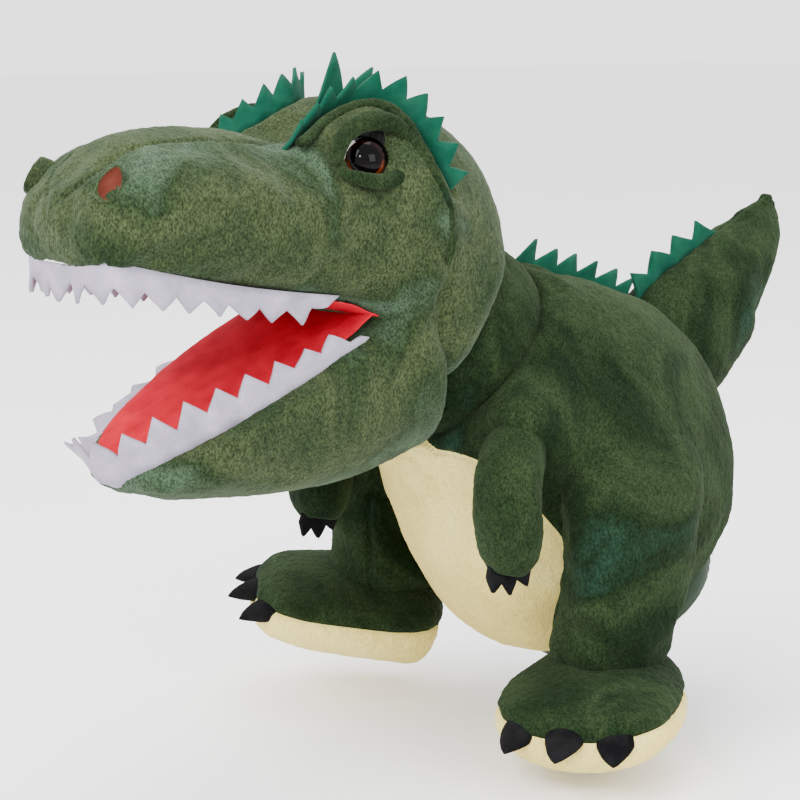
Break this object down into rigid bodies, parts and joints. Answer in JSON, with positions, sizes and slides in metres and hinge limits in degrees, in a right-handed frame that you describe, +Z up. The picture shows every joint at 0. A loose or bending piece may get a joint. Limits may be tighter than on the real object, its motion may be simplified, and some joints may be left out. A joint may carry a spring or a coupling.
{
  "type": "moving mouth hand puppet",
  "caption": "Plush dinosaur glove puppet with a stiffened moving mouth, felt teeth and spikes, hanging arms and legs, and a hand opening under the tail.",
  "frame": {"origin": "centre of the hand opening, inside the bound hem", "axes": "+Z up, -Y the way the snout points, +X the puppet's left"},
  "size_m": [0.2487, 0.3791, 0.28],
  "materials": {
    "green_plush": "short-pile tie-dyed plush, dark green to sage",
    "olive_plush": "short-pile plush, olive",
    "cream_plush": "short-pile plush, cream",
    "green_felt": "pressed craft felt",
    "white_felt": "pressed craft felt",
    "black_felt": "pressed craft felt, stuffed on the toes",
    "black_plush": "short-pile plush",
    "brown_felt": "pressed felt",
    "red_cloth": "brushed polyester knit",
    "lining_cloth": "plain woven polyester",
    "binding": "folded woven tape",
    "label_tape": "satin tape, blank",
    "stuffing": "polyester fibre fill",
    "eye_plastic": "polished acrylic",
    "washer_plastic": "moulded polypropylene",
    "board": "flexible plastic sheet"
  },
  "bodies": {
    "torso": {"torso_left_panel": "green_plush", "torso_right_panel": "green_plush", "belly_panel": "cream_plush", "body_stuffing": "stuffing", "sleeve_lining": "lining_cloth", "hem_band": "binding", "care_label": "label_tape", "back_spikes": "green_felt"},
    "neck": {"neck_sleeve": "green_plush"},
    "head": {"head_left_panel": "green_plush", "head_right_panel": "green_plush", "snout_gusset": "olive_plush", "snout_stuffing": "stuffing", "crown_stuffing": "stuffing", "finger_pocket": "lining_cloth", "upper_mouth_board": "board", "upper_mouth_lining": "red_cloth", "upper_teeth": "white_felt", "brow_left": "green_plush", "brow_right": "green_plush", "brow_spikes_left": "green_felt", "brow_spikes_right": "green_felt", "crown_spikes": "green_felt", "eye_left": "eye_plastic", "eye_right": "eye_plastic", "eye_washers": "washer_plastic", "eye_patch_left": "black_plush", "eye_patch_right": "black_plush", "nostril_left": "olive_plush", "nostril_right": "olive_plush", "nostril_linings": "brown_felt"},
    "jaw": {"jaw_cover": "green_plush", "jaw_stuffing": "stuffing", "thumb_pocket": "lining_cloth", "lower_mouth_board": "board", "lower_mouth_lining": "red_cloth", "lower_teeth": "white_felt"},
    "left_arm": {"arm_left": "green_plush", "arm_stuffing_left": "stuffing", "arm_claws_left": "black_felt"},
    "right_arm": {"arm_right": "green_plush", "arm_stuffing_right": "stuffing", "arm_claws_right": "black_felt"},
    "left_leg": {"leg_left": "green_plush", "leg_stuffing_left": "stuffing"},
    "right_leg": {"leg_right": "green_plush", "leg_stuffing_right": "stuffing"},
    "left_foot": {"foot_top_left": "green_plush", "foot_sole_left": "cream_plush", "foot_stuffing_left": "stuffing", "foot_claws_left": "black_felt"},
    "right_foot": {"foot_top_right": "green_plush", "foot_sole_right": "cream_plush", "foot_stuffing_right": "stuffing", "foot_claws_right": "black_felt"},
    "tail": {"tail_cover": "green_plush", "tail_stuffing": "stuffing", "tail_spikes": "green_felt"}
  },
  "joints": [
    {"name": "head_turn", "type": "hinge", "parent": "torso", "child": "neck", "pos_m": [0, -0.096, 0.114], "axis": [0, 0, 1], "range_deg": [-20, 20], "stiffness_Nm_per_rad": 1.5},
    {"name": "head_nod", "type": "hinge", "parent": "neck", "child": "head", "pos_m": [0, -0.096, 0.114], "axis": [1, 0, 0], "range_deg": [-18, 4], "stiffness_Nm_per_rad": 3},
    {"name": "jaw_hinge", "type": "hinge", "parent": "head", "child": "jaw", "pos_m": [0, -0.159, 0.134], "axis": [1, 0, 0], "range_deg": [-30, 4], "stiffness_Nm_per_rad": 1, "deforming": ["lower_teeth", "upper_teeth"]},
    {"name": "left_shoulder", "type": "hinge", "parent": "torso", "child": "left_arm", "pos_m": [0.062, -0.115, 0.084], "axis": [1, 0, 0], "range_deg": [-28, 8], "stiffness_Nm_per_rad": 0.05},
    {"name": "right_shoulder", "type": "hinge", "parent": "torso", "child": "right_arm", "pos_m": [-0.062, -0.115, 0.084], "axis": [1, 0, 0], "range_deg": [-28, 8], "stiffness_Nm_per_rad": 0.05},
    {"name": "left_hip", "type": "hinge", "parent": "torso", "child": "left_leg", "pos_m": [0.076, -0.048, 0.058], "axis": [1, 0, 0], "range_deg": [-15, 6], "stiffness_Nm_per_rad": 0.3},
    {"name": "right_hip", "type": "hinge", "parent": "torso", "child": "right_leg", "pos_m": [-0.0785, -0.048, 0.064], "axis": [1, 0, 0], "range_deg": [-8, 8], "stiffness_Nm_per_rad": 0.3},
    {"name": "left_ankle", "type": "hinge", "parent": "left_leg", "child": "left_foot", "pos_m": [0.0665, -0.065, -0.0085], "axis": [1, 0, 0], "range_deg": [-12, 12], "stiffness_Nm_per_rad": 0.2},
    {"name": "right_ankle", "type": "hinge", "parent": "right_leg", "child": "right_foot", "pos_m": [-0.069, -0.07298, 0.00007], "axis": [1, 0, 0], "range_deg": [-8, 8], "stiffness_Nm_per_rad": 0.2},
    {"name": "tail_wag", "type": "hinge", "parent": "torso", "child": "tail", "pos_m": [0, 0.041, 0.11], "axis": [0, -0.8, 0.6], "range_deg": [-20, 20], "stiffness_Nm_per_rad": 0.3}
  ]
}
